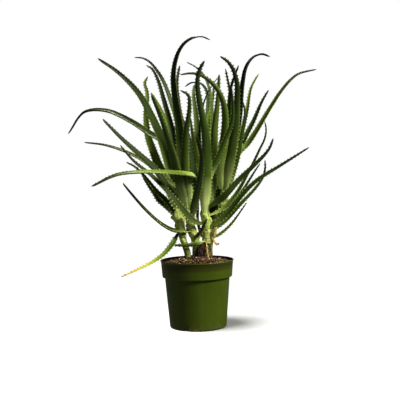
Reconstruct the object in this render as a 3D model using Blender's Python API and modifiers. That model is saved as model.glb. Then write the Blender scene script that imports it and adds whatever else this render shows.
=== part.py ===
"""Potted tree aloe: canes and toothed leaves in a green nursery pot of bark chips.

Metres, +Z up.  The origin is the middle of the pot's underside; -Y is the front.
Every leaf, every cane, the chips and the pot are separate solids that never touch.
"""
import bpy
import bmesh
from math import cos, pi, radians, sin
from mathutils import Matrix, Vector

for old in list(bpy.data.objects):
    bpy.data.objects.remove(old, do_unlink=True)

MM = 0.001

# ---- driving sizes, in millimetres
POT_HEIGHT = 140.0
POT_WALL = 1.8
POT_FLOOR_RADIUS = 56.0
POT_FOOT_RADIUS = 59.5
POT_BODY_TOP_RADIUS = 67.6
RIM_BAND_HEIGHT = 35.0
RIM_BAND_LOW_RADIUS = 72.8
RIM_TOP_RADIUS = 76.5
NOTCH_COUNT = 3          # drainage notches through the edge of the foot
NOTCH_WIDTH = 16.0
NOTCH_HEIGHT = 4.5
NOTCH_DEPTH = 12.0
NOTCH_TURN = -114.0      # degrees round from +X to the first notch
SOIL_EDGE = 131.5        # chips at the wall, and mounded round the canes
SOIL_CROWN = 144.0
SOIL_GAP = 0.4
TURN_STEPS = 48          # steps round the pot and the soil
PLANTED_TO = 96.0
SOCKET_GAP = 0.4
SOCKET_DEPTH = 80.0
SOCKET_SIDES = 16
CANE_SIDES = 12
LINE_STEPS = 24          # fine steps between two points of a leaf's middle line
LEAF_STEP = 20.0         # length between the cross sections of a leaf
LEAF_NECK = 0.6          # width at the base over the full width
LEAF_WIDEST = 0.16       # how far along a leaf is widest
LEAF_TAPER = 1.7         # higher keeps a leaf wide for longer
LEAF_THICKNESS = 0.24    # thickness over width
LEAF_SKIN = 0.6          # thickness left at the tip
LEAF_SECTION = ((-0.5, 0.22), (-0.2, -0.02), (0.2, -0.02), (0.5, 0.22), (0.25, -0.62),
                (-0.25, -0.62))

# Canes: planted straight down at the first point; (x, y, z, radius)
CANES = {
    "cane_center_base": [(17, 3, PLANTED_TO, 11.0), (17, 3, 128, 13.0), (17, 3, 142, 14.0),
                         (18, 3, 152, 13.0), (20, 3, 162, 10.5), (21.5, 3, 170, 8.0)],
    "cane_center": [(21.5, 3, 172, 6.6), (22, 3, 186, 6.4), (22, 3, 204, 6.2), (20, 3, 226, 5.8),
                    (18, 4, 250, 5.4), (16, 6, 280, 4.8), (15, 7, 310, 4.0), (14, 8, 330, 3.0)],
    "cane_middle": [(-3, 5, PLANTED_TO, 4.8), (-3, 5, 147, 4.8), (-3, 4, 168, 4.6),
                    (-5, 3, 190, 4.4), (-13, 3, 218, 4.2), (-18, 4, 242, 4.0),
                    (-21, 6, 270, 3.8), (-22, 8, 296, 3.0)],
    "cane_left": [(-19, -4, PLANTED_TO, 4.6), (-19, -4, 147, 4.6), (-22, -5, 163, 4.5),
                  (-27, -5, 181, 4.4), (-31, -5, 203, 4.6), (-34, -4, 217, 5.2), (-37, -4, 229, 3.6)],
    "cane_right": [(27, 24, PLANTED_TO, 5.6), (27, 24, 146, 5.6), (28, 24, 167, 5.5),
                   (33, 22, 195, 5.5), (45, 18, 226, 5.6), (56, 12, 256, 5.8), (62, 7, 284, 5.6),
                   (66, 7, 310, 4.8), (70, 8, 334, 3.2)],
}

# Leaves: full width, roll at base, roll at tip (degrees, + turns the upper side
# anticlockwise seen from the base), then the middle line from cane to tip
LEAVES = {
    # left cane
    "leaf_l1": (14, -50, -30, (-41, -7, 230), (-57, -10, 260), (-81, -14, 285), (-101, -18, 312),
                (-122, -20, 335), (-141, -22, 346)),
    "leaf_l2": (14, -45, -30, (-38, 4, 226), (-52, 16, 243), (-78, 32, 264), (-92, 44, 285),
                (-106, 56, 303), (-117, 68, 326)),
    "leaf_l3": (10, -50, -20, (-38, -9, 196), (-47, -26, 181), (-62, -38, 162), (-84, -52, 146),
                (-117, -74, 132), (-150, -96, 120)),
    # middle cane
    "leaf_m1": (20, -40, -30, (-26, 11, 250), (-43, 24, 296), (-54, 32, 338), (-66, 40, 381),
                (-81, 50, 421), (-118, 68, 494), (-163, 84, 543), (-209, 98, 577)),
    "leaf_m2": (22, 0, 0, (-20, -6, 246), (-27, -20, 273), (-37, -40, 323), (-44, -54, 357),
                (-63, -84, 425), (-81, -110, 473)),
    "leaf_m3": (19, 0, 0, (-12, -4, 248), (-14, -18, 278), (-20, -30, 323), (-20, -38, 351),
                (-16, -55, 402), (-9, -71, 445), (-10, -82, 472), (-26, -90, 482)),
    "leaf_m4": (14, 0, 0, (-9, -6, 224), (-2, -24, 259), (8, -47, 300), (13, -68, 335),
                (12, -90, 365), (4, -110, 391)),
    "leaf_m5": (19, 60, 20, (-20, -2, 296), (-27, -8, 340), (-30, -10, 410), (-38, -4, 477),
                (-41, 2, 521), (-34, 8, 561), (-19, 12, 589), (5, 14, 604), (22, 15, 605),
                (38, 16, 597)),
    "leaf_m6": (14, 0, 0, (-14, 16, 300), (-16, 30, 350), (-24, 38, 410), (-32, 46, 460),
                (-35, 54, 515), (-28, 64, 553)),
    "leaf_m7": (18, -40, -20, (-26, 12, 300), (-24, 16, 350), (-32, 20, 415), (-48, 26, 472),
                (-62, 32, 513), (-79, 40, 543), (-101, 50, 566), (-126, 58, 571)),
    "leaf_m8": (19, -30, -20, (-29, 13, 290), (-40, 34, 348), (-48, 50, 412), (-66, 72, 485),
                (-79, 90, 530), (-93, 104, 555), (-104, 112, 562)),
    "leaf_m9": (18, -20, -20, (-18, 18, 264), (-30, 44, 284), (-52, 58, 304), (-76, 74, 332),
                (-92, 94, 372), (-104, 114, 408), (-108, 134, 458), (-105, 150, 502),
                (-111, 162, 530), (-104, 170, 545)),
    "leaf_m10": (15, -20, -20, (-21, 20, 298), (-28, 50, 335), (-42, 66, 372), (-54, 80, 409),
                 (-75, 106, 464), (-96, 128, 503)),
    "leaf_m11": (14, -25, -25, (-22, 17, 284), (-34, 46, 318), (-48, 60, 345), (-68, 66, 390),
                 (-96, 74, 408), (-140, 84, 438), (-195, 92, 463), (-244, 98, 460),
                 (-272, 104, 426), (-281, 106, 412)),
    "leaf_m12": (18, -75, -50, (-26, 0, 228), (-38, -12, 250), (-58, -20, 291), (-82, -28, 330),
                 (-111, -38, 359), (-149, -48, 396), (-182, -58, 432)),
    "leaf_m13": (12, -20, -15, (-27, -1, 284), (-50, 2, 300), (-95, 12, 339), (-137, 24, 365),
                 (-189, 34, 384), (-236, 44, 391)),
    "leaf_m14": (17, -40, -20, (-10, 8, 262), (-5, 7, 316), (-6, 11, 358), (-14, 14, 400),
                 (-26, 18, 440)),
    "leaf_m15": (11, -15, -15, (-14, -2, 200), (-26, -18, 202), (-48, -22, 205), (-75, -25, 222),
                 (-105, -29, 252), (-133, -33, 286), (-147, -36, 304)),
    "leaf_m16": (9, 0, 0, (-3, -5, 186), (3, -18, 192), (10, -26, 202), (16, -34, 214),
                 (21, -40, 227)),
    # central cane
    "leaf_c1": (23, 0, 0, (18, -6, 234), (20, -16, 268), (23, -30, 326), (24, -42, 370),
                (21, -53, 410), (12, -70, 458), (8, -84, 497), (13, -92, 520), (23, -100, 537)),
    "leaf_c2": (10, 0, 0, (10, 0, 318), (8, -12, 336), (2, -28, 368), (-4, -44, 401),
                (-7, -60, 432)),
    "leaf_c3": (14, 0, 0, (23, -1, 288), (30, -11, 312), (43, -28, 340), (61, -55, 383),
                (75, -77, 419), (76, -97, 450), (72, -120, 484)),
    "leaf_c4": (18, -60, -60, (27, 10, 250), (35, 9, 295), (39, 5, 345), (43, 2, 411), (50, -1, 470),
                (54, -4, 523)),
    "leaf_c5": (12, 0, 0, (19, 15, 300), (25, 32, 370), (31, 48, 430), (41, 62, 479),
                (45, 74, 512)),
    "leaf_c6": (10, 50, 0, (6, 14, 310), (9, 11, 360), (15, 12, 440), (27, 15, 482), (52, 22, 521)),
    "leaf_c7": (13, 0, 0, (24, 9, 306), (34, 18, 360), (38, 26, 430), (36, 33, 485),
                (26, 42, 522), (8, 50, 545), (-14, 58, 559)),
    "leaf_c8": (11, 0, 0, (16, 17, 292), (27, 60, 380), (30, 86, 450), (31, 100, 492),
                (19, 112, 518), (-2, 122, 523), (-20, 130, 514)),
    "leaf_c9": (13, 0, 0, (7, 14, 280), (8, 46, 370), (5, 76, 440), (0, 112, 496), (3, 140, 521)),
    "leaf_c10": (16, -80, -50, (12, -5, 214), (-7, -19, 223), (-30, -36, 250), (-54, -46, 281),
                 (-88, -58, 318), (-119, -74, 345), (-145, -92, 378)),
    "leaf_c11": (10, 60, 60, (13, -8, 177), (0, -15, 174), (-20, -21, 172), (-54, -22, 173)),
    "leaf_c12": (14, -30, -20, (10, 0, 300), (0, -32, 315), (-31, -56, 321), (-70, -82, 324),
                 (-108, -110, 325), (-150, -136, 320), (-194, -158, 299)),
    "leaf_c13": (17, 65, 50, (29, -5, 208), (62, -16, 233), (95, -25, 273), (126, -34, 303),
                 (171, -46, 331), (229, -60, 367)),
    "leaf_c14": (19, -35, -20, (29, 1, 249), (58, -28, 271), (90, -44, 306), (122, -60, 337),
                 (146, -72, 363), (155, -80, 386)),
    "leaf_c15": (14, 30, 10, (27, 3, 231), (54, -2, 243), (84, 2, 274), (113, 8, 322),
                 (134, 12, 363), (150, 16, 399), (148, 20, 427)),
    "leaf_c16": (13, 20, 10, (30, 5, 217), (46, -1, 226), (60, 4, 236), (74, 16, 249),
                 (101, 34, 282), (127, 48, 320), (141, 58, 339)),
    "leaf_c17": (14, 30, 20, (30, 4, 197), (58, 6, 217), (91, 12, 250), (131, 22, 291),
                 (147, 30, 317), (149, 38, 346)),
    "leaf_c18": (9, 30, 20, (31, 4, 182), (52, 6, 193), (73, 12, 211), (108, 24, 256)),
    # right cane
    "leaf_r1": (20, 0, 0, (63, -2, 286), (69, -17, 325), (76, -31, 366), (83, -46, 412),
                (86, -67, 463), (85, -82, 498), (72, -97, 529), (52, -110, 543)),
    "leaf_r2": (18, 40, 30, (77, 5, 328), (83, 4, 347), (92, 2, 361), (110, 0, 378), (127, -1, 402),
                (161, 0, 456), (187, 3, 493), (217, 6, 521), (258, 10, 531)),
    "leaf_r3": (17, 45, 20, (74, 12, 306), (87, 15, 354), (105, 24, 390), (126, 32, 428),
                (145, 40, 469), (161, 50, 495)),
    "leaf_r4": (13, 10, 0, (75, 20, 306), (93, 56, 366), (104, 68, 408), (116, 80, 455),
                (127, 96, 505), (146, 112, 538)),
    "leaf_r5": (17, 30, 0, (69, 22, 334), (82, 42, 366), (91, 42, 408), (98, 40, 450),
                (103, 38, 500), (116, 46, 551), (142, 54, 573), (167, 60, 567)),
    "leaf_r6": (16, 50, 20, (59, 15, 308), (62, 17, 330), (66, 16, 350), (68, 14, 385),
                (73, 17, 445), (79, 25, 498), (97, 35, 547)),
    "leaf_r7": (13, 0, 0, (62, 20, 318), (72, 58, 372), (80, 70, 430), (80, 80, 490),
                (71, 90, 548)),
    "leaf_r8": (18, 45, 10, (52, 3, 287), (52, -2, 320), (58, -6, 360), (62, -16, 400),
                (63, -30, 440), (55, -41, 475), (35, -48, 502), (5, -54, 519), (-27, -60, 516)),
    "leaf_r9": (13, -45, -30, (73, 1, 290), (78, -1, 316), (84, -8, 336), (91, -13, 360),
                (98, -15, 400), (105, -13, 438), (101, -11, 466)),
    # behind
    "leaf_b1": (19, 0, 0, (14, 14, 262), (6, 60, 330), (-14, 108, 390), (-40, 150, 424),
                (-66, 184, 436)),
    "leaf_b2": (18, 0, 0, (64, 19, 288), (74, 64, 340), (84, 118, 376), (96, 160, 380),
                (108, 196, 366)),
    "leaf_b3": (17, 0, 0, (20, 12, 240), (36, 62, 288), (50, 112, 340), (62, 156, 392),
                (76, 190, 428)),
    "leaf_b4": (16, 0, 0, (12, 14, 188), (5, 16, 220), (6, 16, 243), (7, 14, 262)),
    "leaf_b5": (18, 0, 0, (25, 15, 202), (34, 30, 235), (48, 30, 266), (52, 36, 305), (50, 50, 335)),
}

# Dried leaf bases still clinging to the canes: same loft, short and broad
DRIED = {
    "dried_sheath": (7, 0, 0, (-6, -4.5, 191), (-7, -5.5, 201), (-10, -7, 211)),
    "dried_stub": (8, 0, 0, (31, -8, 182), (35, -12, 195), (38, -14, 208)),
}

part = bpy.data.collections.new("potted_aloe")
cutters = bpy.data.collections.new("cutters")
bpy.context.scene.collection.children.link(part)
bpy.context.scene.collection.children.link(cutters)


def plain(name, colour, roughness):
    """One Principled material with a plain colour."""
    mat = bpy.data.materials.new(name)
    mat.use_nodes = True
    shader = mat.node_tree.nodes["Principled BSDF"]
    shader.inputs["Base Color"].default_value = (*colour, 1.0)
    shader.inputs["Roughness"].default_value = roughness
    return mat


def add(name, bm, mat):
    """Close a bmesh into an object with its faces outward."""
    bmesh.ops.recalc_face_normals(bm, faces=bm.faces[:])
    bmesh.ops.triangulate(bm, faces=[f for f in bm.faces if len(f.verts) == 4])
    mesh = bpy.data.meshes.new(name)
    bm.to_mesh(mesh)
    bm.free()
    mesh.materials.append(mat)
    obj = bpy.data.objects.new(name, mesh)
    part.objects.link(obj)
    return obj


def smooth_line(points, count):
    """Even steps along a smooth line through the points (Catmull-Rom, by chord)."""
    pts = [Vector(p) for p in points]
    pts = [pts[0] * 2 - pts[1]] + pts + [pts[-1] * 2 - pts[-2]]
    fine = []
    for a, b, c, d in zip(pts, pts[1:], pts[2:], pts[3:]):
        t1 = (b - a).length ** 0.5
        t2 = t1 + (c - b).length ** 0.5
        t3 = t2 + (d - c).length ** 0.5
        for k in range(LINE_STEPS):
            t = t1 + (t2 - t1) * k / LINE_STEPS
            ab = a * ((t1 - t) / t1) + b * (t / t1)
            bc = b * ((t2 - t) / (t2 - t1)) + c * ((t - t1) / (t2 - t1))
            cd = c * ((t3 - t) / (t3 - t2)) + d * ((t - t2) / (t3 - t2))
            abc = ab * ((t2 - t) / t2) + bc * (t / t2)
            bcd = bc * ((t3 - t) / (t3 - t1)) + cd * ((t - t1) / (t3 - t1))
            fine.append(abc * ((t2 - t) / (t2 - t1)) + bcd * ((t - t1) / (t2 - t1)))
    fine.append(pts[-2])
    along = [0.0]
    for a, b in zip(fine, fine[1:]):
        along.append(along[-1] + (b - a).length)
    line, k = [], 0
    for i in range(count):
        want = along[-1] * i / (count - 1)
        while k < len(fine) - 2 and along[k + 1] < want:
            k += 1
        f = (want - along[k]) / (along[k + 1] - along[k])
        line.append(fine[k].lerp(fine[k + 1], min(f, 1.0)))
    return line


def leaf(name, width, roll_base, roll_tip, points, mat):
    """A leaf: channelled above, keeled below, drawn to a point."""
    length = sum((Vector(b) - Vector(a)).length for a, b in zip(points, points[1:]))
    count = max(6, round(length / LEAF_STEP))
    line = smooth_line(points, count + 1)
    heading = line[-1] - line[0]
    heading.z = 0.0
    across = Vector((-heading.y, heading.x, 0.0)).normalized()
    bm = bmesh.new()
    rings = []
    for i, middle in enumerate(line[:-1]):
        s = i / count
        ahead = (line[i + 1] - line[max(i - 1, 0)]).normalized()
        side = (across - ahead * across.dot(ahead)).normalized()
        side.rotate(Matrix.Rotation(radians(roll_base + (roll_tip - roll_base) * s), 3, ahead))
        up = ahead.cross(side)
        if s < LEAF_WIDEST:
            w = width * (LEAF_NECK + (1 - LEAF_NECK) * sin(pi / 2 * s / LEAF_WIDEST))
        else:
            w = width * (1 - ((s - LEAF_WIDEST) / (1 - LEAF_WIDEST)) ** LEAF_TAPER)
        t = LEAF_THICKNESS * w + LEAF_SKIN
        ring = []
        for u, v in LEAF_SECTION:
            ring.append(bm.verts.new((middle + side * (u * w) + up * (v * t)) * MM))
        rings.append(ring)
    tip = bm.verts.new(line[-1] * MM)
    for low, high in zip(rings, rings[1:]):
        for k in range(6):
            bm.faces.new((low[k], low[(k + 1) % 6], high[(k + 1) % 6], high[k]))
    for k in range(6):
        bm.faces.new((rings[-1][k], rings[-1][(k + 1) % 6], tip))
    first = rings[0]
    bm.faces.new((first[0], first[1], first[5]))
    bm.faces.new((first[1], first[2], first[4], first[5]))
    bm.faces.new((first[2], first[3], first[4]))
    return add(name, bm, mat)


def cane(name, stations, mat):
    """A round stem through (x, y, z, radius) stations."""
    curve = bpy.data.curves.new(name, "CURVE")
    curve.dimensions = "3D"
    curve.bevel_depth = MM
    curve.bevel_resolution = (CANE_SIDES - 4) // 2
    curve.use_fill_caps = True
    curve.twist_mode = "MINIMUM"
    path = curve.splines.new("POLY")
    path.points.add(len(stations) - 1)
    for point, (x, y, z, r) in zip(path.points, stations):
        point.co = (x * MM, y * MM, z * MM, 1.0)
        point.radius = r
    temp = bpy.data.objects.new(name, curve)
    part.objects.link(temp)
    mesh = bpy.data.meshes.new_from_object(temp.evaluated_get(bpy.context.evaluated_depsgraph_get()))
    bpy.data.objects.remove(temp)
    bm = bmesh.new()
    bm.from_mesh(mesh)
    bmesh.ops.remove_doubles(bm, verts=bm.verts[:], dist=1e-6)
    return add(name, bm, mat)


def turned(name, profile):
    """A closed body turned about Z from an outline of (radius, z) that starts on the axis."""
    bm = bmesh.new()
    outline = [bm.verts.new((r * MM, 0.0, z * MM)) for r, z in profile]
    for a, b in zip(outline, outline[1:]):
        bm.edges.new((a, b))
    mesh = bpy.data.meshes.new(name)
    bm.to_mesh(mesh)
    bm.free()
    obj = bpy.data.objects.new(name, mesh)
    part.objects.link(obj)
    screw = obj.modifiers.new("turn", "SCREW")
    screw.axis = "Z"
    screw.angle = 2 * pi
    screw.steps = screw.render_steps = TURN_STEPS
    screw.use_merge_vertices = True
    screw.merge_threshold = 0.00001
    screw.use_normal_calculate = True
    return obj


def bake(obj, mat):
    """Apply an object's modifiers and give it one material."""
    graph = bpy.context.evaluated_depsgraph_get()
    mesh = bpy.data.meshes.new_from_object(obj.evaluated_get(graph))
    name = obj.name
    bpy.data.objects.remove(obj)
    bm = bmesh.new()
    bm.from_mesh(mesh)
    bmesh.ops.remove_doubles(bm, verts=bm.verts[:], dist=1e-6)
    return add(name, bm, mat)


def cut(obj, tools):
    """Subtract the tools from an object, exactly."""
    for tool in tools:
        tool.display_type = "WIRE"
        tool.hide_render = True
        sub = obj.modifiers.new("cut", "BOOLEAN")
        sub.operation = "DIFFERENCE"
        sub.solver = "EXACT"
        sub.object = tool


green = plain("leaf", (0.075, 0.130, 0.030), 0.5)
stem = plain("cane", (0.150, 0.200, 0.070), 0.6)
woody = plain("woody_cane", (0.110, 0.055, 0.030), 0.85)
husk = plain("dried_husk", (0.420, 0.270, 0.150), 0.8)
chips = plain("bark_chips", (0.150, 0.060, 0.035), 0.95)
plastic = plain("green_plastic", (0.035, 0.060, 0.010), 0.45)

for label, (width, roll_base, roll_tip, *points) in LEAVES.items():
    leaf(label, width, roll_base, roll_tip, points, green)
for label, (width, roll_base, roll_tip, *points) in DRIED.items():
    leaf(label, width, roll_base, roll_tip, points, husk)
for label, stations in CANES.items():
    cane(label, stations, woody if label.endswith("base") else stem)


# ---- pot: a thin tapered tub with a deep band at the rim, open at the top
band_low = POT_HEIGHT - RIM_BAND_HEIGHT
pot = turned("pot", [
    (0.0, 0.0), (POT_FLOOR_RADIUS, 0.0),
    (POT_FOOT_RADIUS - 1.0, 1.5), (POT_FOOT_RADIUS, 5.0),
    (POT_BODY_TOP_RADIUS, band_low + 1.0), (RIM_BAND_LOW_RADIUS - 1.2, band_low),
    (RIM_BAND_LOW_RADIUS, band_low + 1.5), (RIM_TOP_RADIUS - 1.0, POT_HEIGHT - 3.5),
    (RIM_TOP_RADIUS, POT_HEIGHT - 1.5), (RIM_TOP_RADIUS - 0.6, POT_HEIGHT),
    (RIM_TOP_RADIUS - 2.2, POT_HEIGHT - 0.4), (RIM_BAND_LOW_RADIUS - POT_WALL, band_low + 3.2),
    (POT_BODY_TOP_RADIUS - POT_WALL, band_low + 2.6), (POT_FOOT_RADIUS - POT_WALL, 5.0),
    (POT_FLOOR_RADIUS - 1.0, POT_WALL), (0.0, POT_WALL),
])
notches = []
for k in range(NOTCH_COUNT):
    a = radians(NOTCH_TURN + 360.0 * k / NOTCH_COUNT)
    bpy.ops.mesh.primitive_cube_add(size=1.0)
    notch = bpy.context.active_object
    notch.name = f"notch_{k}"
    notch.data.transform(Matrix.Diagonal((NOTCH_DEPTH * MM, NOTCH_WIDTH * MM, 2 * NOTCH_HEIGHT * MM, 1.0)))
    notch.data.transform(Matrix.Translation((POT_FOOT_RADIUS * MM, 0.0, 0.0)))
    notch.data.transform(Matrix.Rotation(a, 4, "Z"))
    for home in list(notch.users_collection):
        home.objects.unlink(notch)
    cutters.objects.link(notch)
    notches.append(notch)
cut(pot, notches)
pot = bake(pot, plastic)

# ---- soil: bark chips filling the pot, with a socket for each planted cane
inner_top = RIM_BAND_LOW_RADIUS + (RIM_TOP_RADIUS - RIM_BAND_LOW_RADIUS) * 0.7 - POT_WALL
soil = turned("soil", [
    (0.0, POT_WALL + SOIL_GAP), (POT_FLOOR_RADIUS - 1.6 - SOIL_GAP, POT_WALL + SOIL_GAP),
    (POT_FOOT_RADIUS - POT_WALL - SOIL_GAP, 5.6 + SOIL_GAP),
    (POT_BODY_TOP_RADIUS - POT_WALL - 2 * SOIL_GAP, band_low + 2.6),
    (POT_BODY_TOP_RADIUS - POT_WALL - 2 * SOIL_GAP, band_low + 4.0),
    (RIM_BAND_LOW_RADIUS - POT_WALL - 2 * SOIL_GAP, band_low + 5.0), (inner_top - 2 * SOIL_GAP, SOIL_EDGE),
    (inner_top - 8.0, SOIL_EDGE + 1.5), (inner_top * 0.62, SOIL_EDGE + 5.5),
    (inner_top * 0.38, SOIL_CROWN - 2.0), (0.0, SOIL_CROWN),
])
sockets = []
for label, stations in CANES.items():
    if label == "cane_center":
        continue
    x, y = stations[0][:2]
    widest = max(r for _, _, _, r in stations[:3])
    bpy.ops.mesh.primitive_cylinder_add(
        vertices=SOCKET_SIDES, radius=(widest + SOCKET_GAP) / cos(pi / SOCKET_SIDES) * MM,
        depth=SOCKET_DEPTH * MM,
        location=(x * MM, y * MM, (PLANTED_TO - SOCKET_GAP + SOCKET_DEPTH / 2) * MM))
    socket = bpy.context.active_object
    socket.name = f"socket_{label}"
    for home in list(socket.users_collection):
        home.objects.unlink(socket)
    cutters.objects.link(socket)
    sockets.append(socket)
cut(soil, sockets)
soil = bake(soil, chips)

for obj in part.objects:
    for polygon in obj.data.polygons:
        polygon.use_smooth = True
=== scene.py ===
from math import cos, pi, radians, sin, sqrt

import bmesh
import bpy
from mathutils import Matrix, Vector, noise


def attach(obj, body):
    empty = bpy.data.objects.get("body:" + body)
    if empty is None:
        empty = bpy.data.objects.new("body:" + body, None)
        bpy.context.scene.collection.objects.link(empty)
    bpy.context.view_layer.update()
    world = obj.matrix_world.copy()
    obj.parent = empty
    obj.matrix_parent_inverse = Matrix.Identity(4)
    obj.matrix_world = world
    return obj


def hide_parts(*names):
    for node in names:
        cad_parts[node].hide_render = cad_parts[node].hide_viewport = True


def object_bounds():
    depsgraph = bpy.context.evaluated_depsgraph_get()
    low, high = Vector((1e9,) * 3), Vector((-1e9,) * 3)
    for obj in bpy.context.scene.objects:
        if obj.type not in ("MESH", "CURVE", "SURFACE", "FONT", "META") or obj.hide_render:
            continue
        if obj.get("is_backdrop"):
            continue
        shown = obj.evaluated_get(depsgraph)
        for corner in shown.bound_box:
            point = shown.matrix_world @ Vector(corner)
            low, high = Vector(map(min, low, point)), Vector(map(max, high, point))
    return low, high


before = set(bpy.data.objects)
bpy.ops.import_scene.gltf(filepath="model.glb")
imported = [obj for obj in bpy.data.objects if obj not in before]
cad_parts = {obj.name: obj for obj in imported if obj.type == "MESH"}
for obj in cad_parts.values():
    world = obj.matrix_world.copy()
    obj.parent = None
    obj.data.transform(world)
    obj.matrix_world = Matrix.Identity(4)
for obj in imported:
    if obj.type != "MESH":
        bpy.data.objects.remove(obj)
cad_low, cad_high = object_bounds()
MM = 0.001

# ------------------------------ studio
# A plain white sweep under soft light: a broad lamp on the right and a weaker one behind light the
# plant, and a third, high on the left, lays the pot's soft shadow on the sweep.
scene = bpy.context.scene
scene.view_settings.view_transform = "Standard"
scene.view_settings.gamma = 0.92

camera_data = bpy.data.cameras.new("camera")
camera_data.sensor_width = 36.0
camera_data.lens = 64.9
camera_data.clip_end = 30.0
camera = bpy.data.objects.new("camera", camera_data)
scene.collection.objects.link(camera)
camera.matrix_world = (Matrix.Translation((0.0, -1.5, 0.32)) @ Matrix.Rotation(radians(-0.34), 4, "Z")
                       @ Matrix.Rotation(radians(87.85), 4, "X") @ Matrix.Rotation(radians(-1.2), 4, "Z"))
scene.camera = camera

lamps = {}
for label, spot, size, watts, tint in (
        ("broad_lamp", (1.4, -0.9, 1.5), 0.6, 78.0, (1.0, 1.0, 0.78)),
        ("back_lamp", (0.2, 1.2, 1.7), 0.8, 40.0, (0.98, 1.0, 0.78)),
        ("shadow_lamp", (-0.74, -0.33, 1.8), 1.40, 62.0, (1.0, 1.0, 1.0))):
    lamp = bpy.data.lights.new(label, "AREA")
    lamp.size = size
    lamp.energy = watts
    lamp.color = tint
    holder = bpy.data.objects.new(label, lamp)
    scene.collection.objects.link(holder)
    holder.location = spot
    holder.rotation_euler = (Vector((0.0, 0.0, 0.25)) - Vector(spot)).to_track_quat("-Z", "Y").to_euler()
    lamps[label] = holder


def put(tree, kind, settings=None, values=None, **more):
    """Adds a node, sets its properties, and gives its inputs values or links."""
    node = tree.nodes.new(kind)
    for key, value in (settings or {}).items():
        setattr(node, key, value)
    for key, value in {**(values or {}), **more}.items():
        socket = node.inputs[key]
        if isinstance(value, bpy.types.NodeSocket):
            tree.links.new(value, socket)
        else:
            socket.default_value = (*value, 1.0) if socket.type == "RGBA" else value
    return node


world = bpy.data.worlds.new("white_room")
scene.world = world
world.use_nodes = True
world.node_tree.nodes.clear()
seen = put(world.node_tree, "ShaderNodeBackground", Color=(1.0, 1.0, 1.0))
felt = put(world.node_tree, "ShaderNodeBackground", Color=(0.97, 1.0, 0.78), Strength=0.09)
ray = put(world.node_tree, "ShaderNodeLightPath").outputs["Is Camera Ray"]
pick = put(world.node_tree, "ShaderNodeMixShader", values={0: ray, 1: felt.outputs[0], 2: seen.outputs[0]})
put(world.node_tree, "ShaderNodeOutputWorld", Surface=pick.outputs[0])


def new_material(name, roughness, specular=0.5):
    """A plain Principled material: the material, its node tree and its shader."""
    material = bpy.data.materials.new(name)
    material.use_nodes = True
    shader = material.node_tree.nodes["Principled BSDF"]
    shader.inputs["Roughness"].default_value = roughness
    shader.inputs["Specular IOR Level"].default_value = specular
    return material, material.node_tree, shader


def add_object(name, mesh):
    """A mesh as an object at the origin."""
    thing = bpy.data.objects.new(name, mesh)
    scene.collection.objects.link(thing)
    return thing


def own_place(tree):
    """The object's own coordinates, in a shader."""
    return put(tree, "ShaderNodeTexCoord").outputs["Object"]


# The sweep is lit near the pot and plain white further out, and it throws little light back
LIT_REACH = 0.16
WHITE_REACH = 0.30
paper, ft, paper_shader = new_material("white_sweep", 0.9, 0.0)
paper_shader.inputs["Base Color"].default_value = (0.92, 0.92, 0.92, 1.0)
paper_shader.inputs["Emission Color"].default_value = (1.0, 0.97, 1.0, 1.0)
paper_shader.inputs["Emission Strength"].default_value = 0.20
reach = put(ft, "ShaderNodeVectorMath", {"operation": "LENGTH"}, {0: own_place(ft)})
fade = put(ft, "ShaderNodeMapRange", values={"From Min": LIT_REACH, "From Max": WHITE_REACH},
           Value=reach.outputs["Value"])
white = put(ft, "ShaderNodeEmission", Strength=1.05)
dull = put(ft, "ShaderNodeBsdfDiffuse", Color=(0.22, 0.22, 0.19))
near_far = put(ft, "ShaderNodeMixShader",
               values={0: fade.outputs[0], 1: paper_shader.outputs[0], 2: white.outputs[0]})
ray = put(ft, "ShaderNodeLightPath").outputs["Is Camera Ray"]
seen_or_not = put(ft, "ShaderNodeMixShader", values={0: ray, 1: dull.outputs[0], 2: near_far.outputs[0]})
ft.links.new(seen_or_not.outputs[0], ft.nodes["Material Output"].inputs["Surface"])
sweep_mesh = bpy.data.meshes.new("floor")
sweep_mesh.from_pydata([(-6, -3, 0), (6, -3, 0), (6, 9, 0), (-6, 9, 0)], [], [(0, 1, 2, 3)])
sweep_mesh.materials.append(paper)
sweep = add_object("floor", sweep_mesh)
sweep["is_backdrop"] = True

# The left lamp lights only the sweep, and the other two only the plant
sweep_only = bpy.data.collections.new("sweep_only")
sweep_only.objects.link(sweep)
lamps["shadow_lamp"].light_linking.receiver_collection = sweep_only
plant_only = bpy.data.collections.new("plant_only")
plant_only.objects.link(sweep)
plant_only.collection_objects[0].light_linking.link_state = "EXCLUDE"
for label in ("broad_lamp", "back_lamp"):
    lamps[label].light_linking.receiver_collection = plant_only

# ------------------------------ nursery pot
# One thin-walled moulding in dark green polypropylene: a tapered tub with a deep band round the
# rim, a rolled lip, and drainage notches through the edge of the foot.
POT_HEIGHT = 140.0
POT_WALL = 1.8
FOOT_RADIUS = 59.5
BODY_TOP_RADIUS = 67.6
BAND_LOW = 105.0
BAND_LOW_RADIUS = 72.8
LIP_RADIUS = 76.5
POT_SIDES = 144
NOTCH_COUNT = 3
NOTCH_CUT = (0.012, 0.016, 0.009)     # in metres; half of its height bites into the foot
NOTCH_TURN = -114.0                   # degrees round from +X to the first notch


def arc(cx, cz, radius, start, end, steps):
    """Points of (radius, z) along an arc, angles in degrees from +X."""
    return [(cx + radius * cos(radians(start + (end - start) * k / steps)),
             cz + radius * sin(radians(start + (end - start) * k / steps))) for k in range(steps + 1)]


def mesh_from(bm, name, smooth=True):
    """The mesh of a bmesh, which is then freed."""
    mesh = bpy.data.meshes.new(name)
    bm.to_mesh(mesh)
    bm.free()
    mesh.polygons.foreach_set("use_smooth", [smooth] * len(mesh.polygons))
    return mesh


def write(mesh, name, values, kind="FLOAT", field="value"):
    """Stores one value per vertex in an attribute of a mesh."""
    mesh.attributes.new(name, kind, "POINT").data.foreach_set(field, values)


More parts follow.
